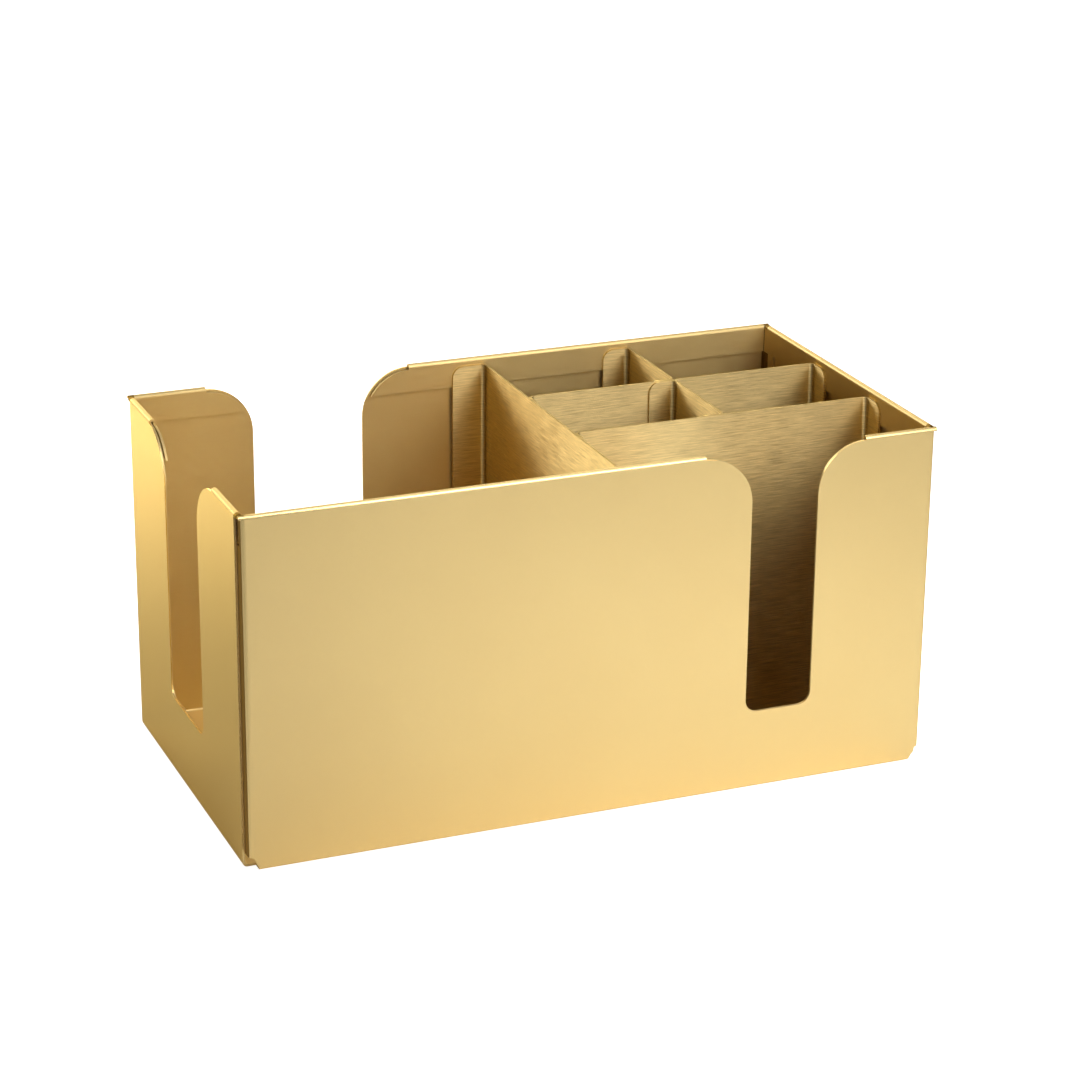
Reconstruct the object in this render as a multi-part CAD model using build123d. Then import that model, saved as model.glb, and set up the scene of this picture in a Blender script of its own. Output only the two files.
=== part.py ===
from build123d import *
import os

# Bar caddy: a folded sheet-metal box with five welded-in dividers.
# Millimetres. X runs along the box, Y from the front wall to the back wall, Z up.
# The origin is the middle of the underside.

# ---- driving sizes --------------------------------------------------------
length = 250.0              # outside, left end to right end
depth = 133.0               # outside, front to back
height = 124.5              # outside, underside to rim
sheet = 0.8                 # thickness of the stainless sheet

shell_bend = 0.8            # inside radius of the shell's bends
hem_depth = 10.4            # how far the folded rim reaches down the inside
hem_gap = 0.8               # air between the two layers of a hem
hem_step = 0.8              # inner hem layer stands this far back from a slot's edge

lap_width = 9.0             # long walls' corner laps, measured from the wall's outside
lap_gap = 0.1               # air between a lap and the end wall outside it
corner_gap = 4.7            # end walls stop this far short of the long walls' outside
rim_gap = 0.3               # air between rims where they meet in a corner
relief_x = 4.5              # corner notch in the base, along the box
relief_z = 5.0              # height of the clipped bottom corner of a long wall

slot_sill = 28.9            # height of the bottom of every slot
slot_corner = 4.5           # radius at the bottom of a slot
slot_flare = 17.5           # radius where a slot opens into the rim
straw_slot_width = 24.8     # slot in the front wall
straw_slot_to_end = 45.1    # its edge to the right end
back_slot_width = 41.3      # slot in the back wall, behind the napkins
back_slot_to_end = 45.9     # its edge to the left end
end_slot_width = 39.0       # slot in the left end wall, on the middle line

divider_drop = 2.8          # dividers stop this far below the rim
divider_bend = 1.5          # inside radius of the dividers' bends
napkin_flange = 13.0        # the napkin divider's flanges, measured over the bend
small_flange = 10.5         # the same of the four other dividers
flange_corner = 4.0         # rounded free corners of the flanges
napkin_row = 132.8          # clear length of the napkin compartment
small_row = 56.4            # clear length of the two small compartments beside it
straw_row = 45.5            # clear depth of the straw compartment
middle_row = 41.6           # clear depth of the middle compartments

# ---- sizes that follow ----------------------------------------------------
hem_thickness = 2 * sheet + hem_gap
fold_radius = hem_thickness / 2
bend_outside = shell_bend + sheet
lap_face = sheet + lap_gap              # a lap's outer face, in from the end wall's outside
lap_start = lap_face + bend_outside     # where a long wall starts to turn into its lap
rim_start = hem_thickness + rim_gap     # where an end wall's rim starts, beside the long rim
hem_low = height - hem_depth
slot_top = height - fold_radius         # the slots' flares start under the fold
divider_height = height - divider_drop - sheet

# outside faces of the walls, in the box's own coordinates
left = -length / 2
right = length / 2
front = -depth / 2
back = depth / 2

napkin_x = left + sheet + napkin_row + sheet / 2        # middle of the napkin divider
cross_x = napkin_x + small_row + sheet                  # middle of both cross dividers
straw_y = front + sheet + straw_row + sheet / 2         # middle of the straw divider
middle_y = straw_y + middle_row + sheet                 # middle of the middle divider

OVER = 1.0                  # how far a cutter stands past what it cuts


# ---- helpers --------------------------------------------------------------
def span_box(x0, x1, y0, y1, z0, z1):
    """A box between two opposite corners."""
    size = Box(x1 - x0, y1 - y0, z1 - z0, align=(Align.MIN, Align.MIN, Align.MIN))
    return Pos(x0, y0, z0) * size


def four_corners(solid):
    """The solid and its mirror images in the other three corners."""
    other_end = mirror(solid, Plane.YZ)
    return [solid, other_end, mirror(solid, Plane.XZ), mirror(other_end, Plane.XZ)]


# ---- outer shell ----------------------------------------------------------
def channel(width):
    """Section of base and two hemmed walls, across a box of this width."""
    layer = sheet / 2                               # middle of the wall
    fold = (sheet + hem_gap) / 2                    # middle radius of the hem's fold
    turn = shell_bend + sheet / 2                   # middle radius of the bottom bend
    wall = layer - width / 2
    top = height - layer - fold
    inner_layer = Line((wall + 2 * fold, hem_low), (wall + 2 * fold, top))
    fold_over = ThreePointArc((wall + 2 * fold, top), (wall + fold, top + fold), (wall, top))
    outer_layer = Line((wall, top), (wall, layer + turn))
    bottom_bend = RadiusArc((wall, layer + turn), (wall + turn, layer), -turn)
    half_base = Line((wall + turn, layer), (0, layer))
    half = Curve() + [inner_layer, fold_over, outer_layer, bottom_bend, half_base]
    return trace(half + mirror(half, Plane.YZ), line_width=sheet)


def long_walls():
    """Base with the front and back walls, cut to the outline of their blank."""
    section = Plane.YZ * channel(depth)
    strip = Pos(left, 0, 0) * extrude(section, amount=length)
    ends = []
    for z0, z1, inset in (
        (-OVER, sheet, relief_x),
        (sheet, slot_top, lap_start),
        (slot_top, height + OVER, rim_gap),
    ):
        ends.append(span_box(left - OVER, left + inset, front - OVER, back + OVER, z0, z1))
    clip = Plane.XZ * make_face(Polyline(
        (left, relief_z), (left + lap_start, relief_z), (left + relief_x, sheet), (left, sheet), close=True))
    ends.append(extrude(clip, amount=depth, both=True))
    for cutter in ends:
        strip -= [cutter, mirror(cutter, Plane.YZ)]
    return strip


def corner_lap():
    """The side edge of a long wall, turned to lap inside the end wall."""
    turn = shell_bend + sheet / 2
    lap = left + lap_face + sheet / 2
    wall = front + sheet / 2
    path = Curve() + [
        Line((left + relief_x, wall), (lap + turn, wall)),
        RadiusArc((lap + turn, wall), (lap, wall + turn), turn),
        Line((lap, wall + turn), (lap, front + lap_width)),
    ]
    strip = Pos(0, 0, relief_z) * extrude(trace(path, line_width=sheet), amount=slot_top - relief_z)
    under_hem = span_box(left - OVER, left + lap_start, front + hem_thickness,
                         front + lap_width + OVER, hem_low - rim_gap, height)
    return strip - under_hem


def end_walls():
    """Base with the two end walls, whose side edges stand back from the corners."""
    section = Plane.XZ * channel(length)
    strip = Pos(0, front, 0) * extrude(section, amount=-depth)
    corners = four_corners(span_box(left - OVER, 0, front - OVER, front + corner_gap, -OVER, hem_low))
    corners += four_corners(span_box(left - OVER, 0, front - OVER, front + rim_start, hem_low, height + OVER))
    corners += four_corners(span_box(left - OVER, left + sheet, front - OVER, front + corner_gap,
                                     hem_low, slot_top))
    return strip - corners


def slot_outline(width, grow):
    """A slot seen square on, its middle line at zero, open at the rim."""
    round_x = width / 2 + slot_flare
    round_z = slot_top - slot_flare
    straight = Pos(0, slot_sill) * Rectangle(width + 2 * grow, slot_top - slot_sill,
                                             align=(Align.CENTER, Align.MIN))
    straight = fillet(straight.vertices().sort_by(Axis.Y)[:2], radius=slot_corner)
    mouth = Pos(0, round_z) * Rectangle(2 * round_x, height + OVER - round_z,
                                        align=(Align.CENTER, Align.MIN))
    shoulder = Circle(slot_flare - grow)
    return straight + (mouth - [Pos(-round_x, round_z) * shoulder, Pos(round_x, round_z) * shoulder])


def slot_cutter(width, wall_plane):
    """Cuts one hemmed wall; the plane lies on its outside and looks into the box."""
    both_layers = extrude(wall_plane * slot_outline(width, 0), amount=hem_thickness + OVER)
    behind = sheet + hem_gap / 2
    inner_layer = extrude(wall_plane.offset(behind) * slot_outline(width, hem_step),
                          amount=hem_thickness - behind + OVER)
    return [both_layers, inner_layer]


def make_outer_shell():
    shell = long_walls() + four_corners(corner_lap()) + end_walls()
    straw_slot_x = right - straw_slot_to_end - straw_slot_width / 2
    back_slot_x = left + back_slot_to_end + back_slot_width / 2
    into_front = Plane(origin=(straw_slot_x, front, 0), x_dir=(-1, 0, 0), z_dir=(0, 1, 0))
    into_back = Plane(origin=(back_slot_x, back, 0), x_dir=(1, 0, 0), z_dir=(0, -1, 0))
    into_left_end = Plane(origin=(left, 0, 0), x_dir=(0, 1, 0), z_dir=(1, 0, 0))
    shell -= slot_cutter(straw_slot_width, into_front)
    shell -= slot_cutter(back_slot_width, into_back)
    shell -= slot_cutter(end_slot_width, into_left_end)
    return shell


# ---- dividers -------------------------------------------------------------
def divider(plate_length, flange_width):
    """A plate along X, centred on Y = 0 and starting at X = 0, both flanges turned to -Y."""
    turn = divider_bend + sheet / 2
    near = sheet / 2
    far = plate_length - sheet / 2
    free_edge = sheet / 2 - flange_width
    path = Curve() + [
        Line((near, free_edge), (near, -turn)),
        RadiusArc((near, -turn), (near + turn, 0), turn),
        Line((near + turn, 0), (far - turn, 0)),
        RadiusArc((far - turn, 0), (far, -turn), turn),
        Line((far, -turn), (far, free_edge)),
    ]
    plate = extrude(trace(path, line_width=sheet), amount=divider_height)
    free_corners = [edge for edge in plate.edges().filter_by(Axis.X)
                    if abs(edge.center().Y - free_edge) < sheet / 4 and abs(edge.length - sheet) < sheet / 4]
    return Pos(0, 0, sheet) * fillet(free_corners, radius=flange_corner)


def divider_across(x, y_front, y_back, flange_width):
    """A divider that runs front to back at this X, with its flanges turned to -X."""
    return Pos(x, y_back, 0) * Rot(0, 0, -90) * divider(y_back - y_front, flange_width)


def divider_along(y, x_left, x_right, flange_width):
    """A divider that runs along the box at this Y, with its flanges turned to the front."""
    return Pos(x_left, y, 0) * divider(x_right - x_left, flange_width)


def make_napkin_divider():
    return divider_across(napkin_x, front + hem_thickness, back - hem_thickness, napkin_flange)


def make_straw_divider():
    return divider_along(straw_y, napkin_x + sheet / 2, right - hem_thickness, small_flange)


def make_middle_divider():
    return divider_along(middle_y, napkin_x + sheet / 2, right - hem_thickness, small_flange)


def make_middle_cross_divider():
    return divider_across(cross_x, straw_y + sheet / 2, middle_y - sheet / 2, small_flange)


def make_back_cross_divider():
    return divider_across(cross_x, middle_y + sheet / 2, back - hem_thickness, small_flange)


# ---- write the pieces -----------------------------------------------------
pieces = {
    "outer_shell": make_outer_shell(),
    "napkin_divider": make_napkin_divider(),
    "straw_divider": make_straw_divider(),
    "middle_divider": make_middle_divider(),
    "middle_cross_divider": make_middle_cross_divider(),
    "back_cross_divider": make_back_cross_divider(),
}

os.makedirs("parts", exist_ok=True)
for name, piece in pieces.items():
    piece.label = name
    export_step(piece, f"parts/{name}.step")
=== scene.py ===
# %% [markdown]
# # A folded-steel bar caddy, dressed in gold-coloured brushed steel
#
# The shape comes finished from CAD: one folded outer shell and the five dividers that stand in it.
# Blender's job is the rest of what the eye sees: how the sheet is brushed and coloured, the studio around
# it, and a camera at the photograph's angle.

# %% Load the frame
import bpy
import math
from mathutils import Matrix, Vector


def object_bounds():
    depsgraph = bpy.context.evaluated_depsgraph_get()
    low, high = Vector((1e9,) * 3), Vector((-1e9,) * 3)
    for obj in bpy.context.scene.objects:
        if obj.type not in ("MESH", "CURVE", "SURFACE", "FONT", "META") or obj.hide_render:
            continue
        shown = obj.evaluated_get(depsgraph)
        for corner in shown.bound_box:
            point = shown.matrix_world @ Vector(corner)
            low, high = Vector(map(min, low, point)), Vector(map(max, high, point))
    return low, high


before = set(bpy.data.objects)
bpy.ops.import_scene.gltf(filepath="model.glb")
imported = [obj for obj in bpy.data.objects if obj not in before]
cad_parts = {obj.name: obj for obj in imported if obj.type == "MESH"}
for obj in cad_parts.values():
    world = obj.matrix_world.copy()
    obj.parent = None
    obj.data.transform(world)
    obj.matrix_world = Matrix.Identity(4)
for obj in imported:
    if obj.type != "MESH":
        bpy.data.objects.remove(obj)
cad_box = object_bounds()
scene = bpy.context.scene
lowest, highest = (Vector(corner) for corner in cad_box)
print("nodes:", ", ".join(sorted(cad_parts)))
print("CAD box in mm:", [round(1000 * side, 1) for side in highest - lowest])

# %% [markdown]
# ## Three small helpers
#
# Colours are written as the hex values that a paint program shows. Those are sRGB, and the shaders work
# in linear light, so one function turns them. Every material below is a small graph of nodes: one
# function empties the graph, and one adds a node, gives it its settings, and sets or links its sockets.

# %% Helpers for colours and nodes
MM = 0.001                          # one millimetre, in Blender's metres


def linear(hex_colour):
    """An sRGB colour such as "#F0D595" as linear red, green, blue and alpha."""
    values = [int(hex_colour[i:i + 2], 16) / 255 for i in (1, 3, 5)]
    return [v / 12.92 if v < 0.04045 else ((v + 0.055) / 1.055) ** 2.4 for v in values] + [1.0]


def add_node(tree, kind, sockets={}, **settings):
    """Adds a node; a socket is given a value, or another node's output to link."""
    node = tree.nodes.new("ShaderNode" + kind)
    for name, value in settings.items():
        setattr(node, name, value)
    for socket, value in sockets.items():
        if isinstance(value, bpy.types.NodeSocket):
            tree.links.new(value, node.inputs[socket])
        else:
            node.inputs[socket].default_value = value
    return node


def new_tree(owner):
    """The owner's node tree, switched on and emptied."""
    owner.use_nodes = True
    owner.node_tree.nodes.clear()
    return owner.node_tree


# %% [markdown]
# ## The camera
#
# The camera stands about 1.1 m away, to the left of the front, and looks down on the box through a long
# lens. The numbers come from fitting a pinhole camera to the box's own edges in the photograph. A turn
# about Z, a tilt about X and a very small roll are multiplied in that order, so that each of them keeps
# its plain meaning.

# %% Camera
camera_turn = math.radians(-22.36)
camera_down = math.radians(20.68)
camera_roll = math.radians(0.52)

camera_data = bpy.data.cameras.new("photo_camera")
camera_data.sensor_width = 36.0
camera_data.lens = 105.0
camera_data.dof.use_dof = False
camera_data.clip_start = 0.05
camera = bpy.data.objects.new("photo_camera", camera_data)
scene.collection.objects.link(camera)
aim = Matrix.Rotation(camera_turn, 3, "Z") @ Matrix.Rotation(math.pi / 2 - camera_down, 3, "X")
aim = aim @ Matrix.Rotation(camera_roll, 3, "Z")
camera.rotation_euler = aim.to_euler()
camera.location = (-0.3902, -0.9613, 0.4683)
scene.camera = camera
print("camera at", [round(v, 3) for v in camera.location], "m, lens", camera_data.lens, "mm")

# %% [markdown]
# ## White for the camera
#
# The photograph shows the box on pure white. A floor lit up to white would flood the metal with light,
# so the white is a glow, and Light Path tells who sees it. The camera sees all of it. Metal and glass
# show it too, but weaker, because the walls of the real box mirror something much darker than white.
# Matt surfaces get none of it, and take their light from the lamps and from what these light up.


# %% A glow that depends on who looks
def glow_strength(tree, for_camera, for_metal):
    """Strength of a glow: one for camera rays, one for rays off metal or through glass, else none."""
    ray = add_node(tree, "LightPath")
    off_metal = ray.outputs["Is Glossy Ray"]
    through_glass = ray.outputs["Is Transmission Ray"]
    in_metal = add_node(tree, "Math", {0: off_metal, 1: through_glass}, operation="MAXIMUM").outputs[0]
    in_metal = add_node(tree, "Math", {0: in_metal, 1: for_metal}, operation="MULTIPLY").outputs[0]
    by_camera = ray.outputs["Is Camera Ray"]
    both = add_node(tree, "Math", {0: by_camera, 1: for_camera, 2: in_metal}, operation="MULTIPLY_ADD")
    return both.outputs[0]


# %% [markdown]
# ## The floor
#
# Matt white paper with most of that glow. The light that the lamps throw on the paper adds the rest of
# the white. The matt part also receives the box's shadow, but the glow is so strong that the shadow
# clips to white for the camera, and is left only in what the metal mirrors.

# %% Floor
floor_size = 6.0                    # metres, well past the picture's edges
floor_for_camera = 0.85
floor_for_metal = 0.1

bpy.ops.object.select_all(action="DESELECT")
bpy.ops.mesh.primitive_plane_add(size=floor_size, location=(0, 0, 0))
floor = bpy.context.object
floor.name = "floor"

paper = bpy.data.materials.new("matt_white_paper")
tree = new_tree(paper)
matt = add_node(tree, "BsdfDiffuse", {"Color": linear("#F2F2F0")})
strength = glow_strength(tree, floor_for_camera, floor_for_metal)
glow = add_node(tree, "Emission", {"Color": linear("#FFFFFF"), "Strength": strength})
both = add_node(tree, "AddShader", {0: matt.outputs[0], 1: glow.outputs[0]})
add_node(tree, "OutputMaterial", {"Surface": both.outputs[0]})
floor.data.materials.append(paper)
print("floor:", floor_size, "m square")

# %% [markdown]
# ## The room and the lamps
#
# Brushed steel has almost no colour of its own to light: what is seen is the studio, mirrored and
# smeared. The front wall mirrors the paper in front of the box, so the lamps on that side and a pool of
# light on the paper brighten the wall. The left wall mirrors the paper on its left: bright where two
# pools of light fall, dim beside the box, so the wall fades from top to bottom. Lamps behind the box
# light the rims and the compartments. The camera doesn't see the lamps.
#
# Places and strengths are no measured studio. They were fitted so that this view looks like the photograph,
# one lamp at a time, then rounded and changed.

# %% Room
room_for_camera = 1.0
room_for_metal = 0.3

world = bpy.data.worlds.new("studio_room")
scene.world = world
tree = new_tree(world)
strength = glow_strength(tree, room_for_camera, room_for_metal)
room = add_node(tree, "Background", {"Color": linear("#FFFFFF"), "Strength": strength})
add_node(tree, "OutputWorld", {"Surface": room.outputs[0]})

# %% Lamps
box_middle = (0, 0, 0.06)           # metres, as every place below
softbox = 0.75                      # its side in metres
card = 0.3
wide = 180                          # spread in degrees: the whole half-space in front of the lamp

lamps = {                           # name: (place, aimed at, side, power in watts, spread)
    "low_back_softbox": ((0.0, 1.55, 0.45), box_middle, softbox, 11, wide),
    "rim_softbox": ((0.56, 1.39, 0.61), box_middle, softbox, 6, wide),
    "low_back_left_softbox": ((-0.78, 1.34, 0.45), box_middle, softbox, 4, wide),
    "front_right_softbox": ((0.63, -1.09, 1.05), box_middle, softbox, 5, wide),
    "low_front_left_softbox": ((-0.78, -1.34, 0.45), box_middle, softbox, 5.5, wide),
    "near_right_card": ((0.52, -0.21, 0.39), box_middle, card, 0.7, wide),
    "near_front_card": ((0.22, -0.52, 0.39), box_middle, card, 1.0, wide),
    "near_back_left_card": ((-0.22, 0.52, 0.39), box_middle, card, 0.9, wide),
    "pool_left_far": ((-0.42, 0.50, 0.45), (-0.33, 0.45, 0), 0.25, 0.6, 60),
    "pool_left_near": ((-0.30, 0.36, 0.40), (-0.24, 0.29, 0), 0.2, 0.1, 60),
    "pool_front": ((0.10, -0.36, 0.50), (0.08, -0.16, 0), 0.25, 0.22, 50),
}
for name, (place, aimed_at, side, power, spread) in lamps.items():
    lamp_data = bpy.data.lights.new(name, "AREA")
    lamp_data.shape = "SQUARE"
    lamp_data.size = side
    lamp_data.energy = power
    lamp_data.spread = math.radians(spread)
    lamp = bpy.data.objects.new(name, lamp_data)
    lamp.location = place
    lamp.rotation_euler = (Vector(aimed_at) - lamp.location).to_track_quat("-Z", "Y").to_euler()
    lamp.visible_camera = False
    scene.collection.objects.link(lamp)
    print("lamp:", name, power, "W")

# %% [markdown]
# ## Gold-coloured brushed steel
#
# The part looks like brushed stainless sheet with a thin gold-coloured coat. On steel like this the coat
# is usually titanium nitride, the hard gold of drill bits, and so thin that the brushing shows through.
# Brushing is a field of fine grooves that all run one way. They blur a reflection across the grain and
# hardly along it, and here and there one groove is deeper and shows as a light or dark hair. So the
# material is a fully metallic surface with a stretched noise for the hairs and an anisotropic gloss.
#
# The noise is read in two coordinates, one along the grain and one across it. The shell is taken as cut
# from one sheet whose grain runs from end to end, so on the folded box it is level on the long walls and
# upright on the end walls. The dividers' hairs are level in the photograph, so they are level on the
# plates and on the flanges turned from them.


# %% Which way the grain runs
def grain_of_shell(tree, place):
    """Along: x, or z on an end wall. Across: z on a long wall, y on an end wall or the base."""
    normal = add_node(tree, "NewGeometry").outputs["True Normal"]
    facing = add_node(tree, "SeparateXYZ", {0: normal})
    end_wall = add_node(tree, "Math", {0: facing.outputs["X"]}, operation="ABSOLUTE")
    not_end = add_node(tree, "Math", {0: 1.0, 1: end_wall.outputs[0]}, operation="SUBTRACT")
    along = add_node(tree, "Math", {0: place.outputs["X"], 1: place.outputs["Z"]}, operation="ADD")
    across = {0: place.outputs["Z"], 1: not_end.outputs[0], 2: place.outputs["Y"]}
    across = add_node(tree, "Math", across, operation="MULTIPLY_ADD")
    return along.outputs[0], across.outputs[0]


def grain_of_dividers(tree, place):
    """Along: level, round the flanges. Across: upright."""
    along = add_node(tree, "Math", {0: place.outputs["X"], 1: place.outputs["Y"]}, operation="ADD")
    return along.outputs[0], place.outputs["Z"]


# %% [markdown]
# ## Outside, inside and corners
#
# The shell comes closer to the photograph when it is glossier outside than inside. Why is a guess: perhaps
# it was smoothed once more after folding. The narrow step between an end wall's edge and the bend of the
# long wall is coloured dark brown. This is painted shade, standing for the shadow and the dark reflection
# in that narrow step. Both places are told apart by how far a point lies from the middle of the box.

# %% Places on the shell
SHEET = 0.8 * MM
corner_step = 4.7 * MM              # the end walls stop this far short of the long walls' outside
corner_depth = 3 * SHEET            # how far in from the end the step gets painted shade


def beyond(tree, place, axis, distance):
    """1 where a point is further than this from the box's middle plane, otherwise 0."""
    from_middle = add_node(tree, "Math", {0: place.outputs[axis]}, operation="ABSOLUTE")
    further = add_node(tree, "Math", {0: from_middle.outputs[0], 1: distance}, operation="GREATER_THAN")
    return further.outputs[0]


def outside_of_box(tree, place):
    """1 on the outside faces of the four walls, 0 on every face that lies deeper than half a sheet."""
    end = beyond(tree, place, "X", highest.x - SHEET / 2)
    side = beyond(tree, place, "Y", highest.y - SHEET / 2)
    return add_node(tree, "Math", {0: end, 1: side}, operation="MAXIMUM").outputs[0]


def painted_corner_shade(tree, place):
    """1 in the steps at the four upright corners, where shade is painted."""
    end = beyond(tree, place, "X", highest.x - corner_depth)
    near_corner = beyond(tree, place, "Y", highest.y - corner_step)
    side = beyond(tree, place, "Y", highest.y - SHEET)
    step = add_node(tree, "Math", {0: near_corner, 1: side}, operation="SUBTRACT")
    return add_node(tree, "Math", {0: step.outputs[0], 1: end}, operation="MULTIPLY").outputs[0]


# %% The brushed steel itself
def brushed_steel(name, grain, hair_contrast, roughness_outside, roughness_inside, blur_across):
    """Fully metallic, coloured by its coat, with hairs, a soft waviness and an anisotropic gloss; on the
    shell also painted shade in the corner steps.
    """
    material = bpy.data.materials.new(name)
    tree = new_tree(material)
    place = add_node(tree, "TexCoord").outputs["Object"]
    axes = add_node(tree, "SeparateXYZ", {0: place})
    along, across = grain(tree, axes)

    hair_length = 9 * MM            # chosen
    hair_width = 0.45 * MM          # the real grooves are finer, but would not show in the picture
    stretched = add_node(tree, "CombineXYZ", {"X": along, "Y": across})
    strokes = (1 / hair_length, 1 / hair_width, 1)
    stretched = add_node(tree, "VectorMath", {0: stretched.outputs[0], 1: strokes}, operation="MULTIPLY")
    hairs = add_node(tree, "TexNoise", {"Vector": stretched.outputs[0], "Scale": 1.0, "Detail": 3.0,
                                        "Roughness": 0.65})
    hairs = add_node(tree, "MapRange", {"Value": hairs.outputs[0], "From Min": 0.3, "From Max": 0.7})

    cloud_size = 45 * MM            # the colour varies slowly over the sheet
    clouds = add_node(tree, "TexNoise", {"Vector": place, "Scale": 1 / cloud_size, "Detail": 2.0})

    coat = add_node(tree, "MixRGB", {0: clouds.outputs[0], 1: linear("#E2C587"), 2: linear("#E6CB8D")})
    hair_tone = add_node(tree, "MapRange", {"Value": hairs.outputs[0], "To Min": 1.0 - hair_contrast,
                                            "To Max": 1.0})
    colour = add_node(tree, "VectorMath", {0: coat.outputs[0], "Scale": hair_tone.outputs[0]},
                      operation="SCALE")
    # Painted shade: the steps at the upright corners are dark brown instead of the coat colour.
    if grain is grain_of_shell:
        colour = add_node(tree, "MixRGB", {0: painted_corner_shade(tree, axes), 1: colour.outputs[0],
                                           2: linear("#8A6C3C")})
    gloss = add_node(tree, "MapRange", {"Value": outside_of_box(tree, axes), "To Min": roughness_inside,
                                        "To Max": roughness_outside})
    gloss = add_node(tree, "Math", {0: hairs.outputs[0], 1: hair_contrast / 2, 2: gloss.outputs[0]},
                     operation="MULTIPLY_ADD")

    wave_size = 30 * MM             # thin sheet is never quite flat
    wave_height = 0.03 * MM
    groove_depth = 0.1 * MM * hair_contrast
    waves = add_node(tree, "TexNoise", {"Vector": place, "Scale": 1 / wave_size, "Detail": 1.0})
    wavy = add_node(tree, "Bump", {"Height": waves.outputs[0], "Strength": 1.0, "Distance": wave_height})
    grooved = add_node(tree, "Bump", {"Height": hairs.outputs[0], "Strength": 1.0, "Distance": groove_depth,
                                      "Normal": wavy.outputs[0]})
    across_grain = (0.0, 1.0, 0.001) if grain is grain_of_shell else (0.0, 0.001, 1.0)
    tangent = add_node(tree, "CombineXYZ", dict(zip("XYZ", across_grain)))
    metal = add_node(tree, "BsdfPrincipled", {
        "Base Color": colour.outputs[0], "Metallic": 1.0, "Roughness": gloss.outputs[0],
        "Specular Tint": linear("#F0D8A4"), "Anisotropic": blur_across,
        "Tangent": tangent.outputs[0], "Normal": grooved.outputs[0]})
    add_node(tree, "OutputMaterial", {"Surface": metal.outputs[0]})
    print("material:", name, "with", len(tree.nodes), "nodes")
    return material


shell_steel = brushed_steel("gold_coated_steel_satin", grain_of_shell, hair_contrast=0.02,
                            roughness_outside=0.25, roughness_inside=0.43, blur_across=0.9)
divider_steel = brushed_steel("gold_coated_steel_hairline", grain_of_dividers, hair_contrast=0.4,
                              roughness_outside=0.33, roughness_inside=0.33, blur_across=0.97)

# %% [markdown]
# ## Dressing the parts
#
# The CAD parts keep their shape and place. Each one only gets its finish, in the material slot that it
# already has.

# %% Assign the finishes
for name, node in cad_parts.items():
    finish = shell_steel if name == "outer_shell" else divider_steel
    for slot in node.material_slots:
        slot.material = finish
    print(name, "is dressed in", finish.name)

# %% [markdown]
# ## Finish
#
# A colour should render about as it is written, so the view transform is Standard.

# %% View and the end
scene.view_settings.view_transform = "Standard"
